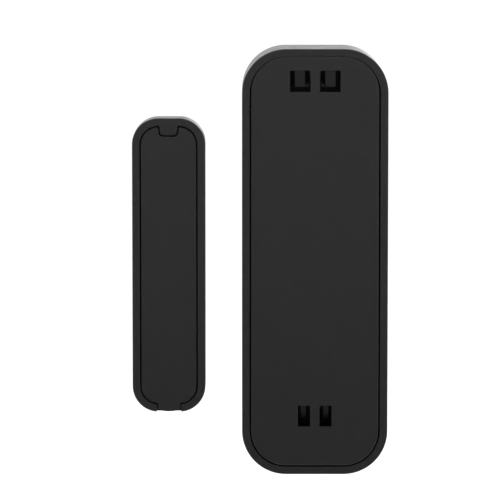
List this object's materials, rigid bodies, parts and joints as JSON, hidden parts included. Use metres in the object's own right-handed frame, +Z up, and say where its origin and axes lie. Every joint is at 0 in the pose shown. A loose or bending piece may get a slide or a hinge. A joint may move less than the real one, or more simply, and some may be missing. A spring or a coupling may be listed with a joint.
{
  "type": "door contact sensor",
  "caption": "Slim wireless door contact: a deep transmitter housing and a small magnet unit, each on its own flat mounting plate, with cell, board and reed switch inside.",
  "frame": {"origin": "centre of the transmitter's mounting face, in the plane of the wall", "axes": "+Y out of the back of both units, into the wall; +Z up, along their length; the magnet unit is on the +X side"},
  "size_m": [0.0428, 0.019, 0.0716],
  "materials": {
    "case_black": "fine matte mould texture",
    "base_black": "fine matte mould texture",
    "frame_black": "plain moulded, slightly smoother than the case",
    "light_pipe_clear": "clear acrylic",
    "screw_steel": "zinc plated",
    "cell_sleeve": "gloss shrink sleeve, bare steel ends",
    "contact_nickel": "nickel plated spring strip",
    "board_green": "solder mask over fibreglass",
    "chip_black": "moulded epoxy",
    "shield_tin": "tinned steel sheet",
    "ferrite_grey": "sintered ferrite",
    "tantalum_yellow": "moulded case",
    "ceramic_tan": "ceramic body with tinned ends",
    "resistor_black": "glazed body with tinned ends",
    "led_diffuser": "milky lens",
    "antenna_copper": "tinned copper wire",
    "reed_glass_green": "greenish sealed glass",
    "reed_alloy": "nickel iron, plated",
    "switch_black": "moulded switch body",
    "acetal_white": "natural acetal",
    "spring_steel": "drawn spring wire",
    "magnet_ferrite": "ground ferrite"
  },
  "bodies": {
    "wall_plate": {"mounting_plate": "base_black"},
    "transmitter": {"front_housing": "case_black", "light_pipe": "light_pipe_clear", "inner_frame": "frame_black", "snap_hooks": "frame_black", "frame_screws": "screw_steel", "battery_cell": "cell_sleeve", "battery_positive_contact": "contact_nickel", "battery_negative_spring": "contact_nickel", "circuit_board": "board_green", "microcontroller": "chip_black", "radio_shield_can": "shield_tin", "crystal": "shield_tin", "voltage_regulator": "chip_black", "boost_inductor": "ferrite_grey", "storage_capacitor": "tantalum_yellow", "chip_capacitors": "ceramic_tan", "chip_resistors": "resistor_black", "status_led": "led_diffuser", "antenna_coil": "antenna_copper", "reed_glass": "reed_glass_green", "reed_leads": "reed_alloy", "tamper_switch_body": "switch_black", "tamper_spring": "spring_steel", "learn_switch_body": "switch_black"},
    "tamper_pin": {"tamper_plunger": "acetal_white"},
    "learn_key": {"learn_button": "acetal_white"},
    "reed_blade": {"reed_moving_blade": "reed_alloy"},
    "magnet_plate": {"magnet_base": "base_black", "bar_magnet": "magnet_ferrite"},
    "magnet_lid": {"magnet_cover": "case_black"}
  },
  "joints": [
    {"name": "housing_release", "type": "slide", "parent": "wall_plate", "child": "transmitter", "axis": [0, -1, 0], "range_m": [0, 0.025], "deforming": ["snap_hooks"]},
    {"name": "tamper_travel", "type": "slide", "parent": "transmitter", "child": "tamper_pin", "axis": [0, 1, 0], "range_m": [0, 0.001], "deforming": ["tamper_spring"]},
    {"name": "learn_press", "type": "slide", "parent": "transmitter", "child": "learn_key", "axis": [0, -1, 0], "range_m": [0, 0.00025], "stiffness_N_per_m": 400},
    {"name": "door_travel", "type": "slide", "parent": "wall_plate", "child": "magnet_plate", "axis": [1, 0, 0], "range_m": [0, 0.06]},
    {"name": "reed_gap", "type": "hinge", "parent": "transmitter", "child": "reed_blade", "pos_m": [0.0087, -0.0129, 0.01132], "axis": [-1, 0, 0], "range_deg": [0, 1]},
    {"name": "cover_tilt", "type": "hinge", "parent": "magnet_plate", "child": "magnet_lid", "pos_m": [0.02453, -0.0001, 0.0243], "axis": [-1, 0, 0], "range_deg": [0, 30]}
  ],
  "couplings": [
    {"joint": "tamper_travel", "follows": "housing_release", "ratio": 0.04},
    {"joint": "reed_gap", "follows": "door_travel", "rad_per_m": 0.29}
  ]
}
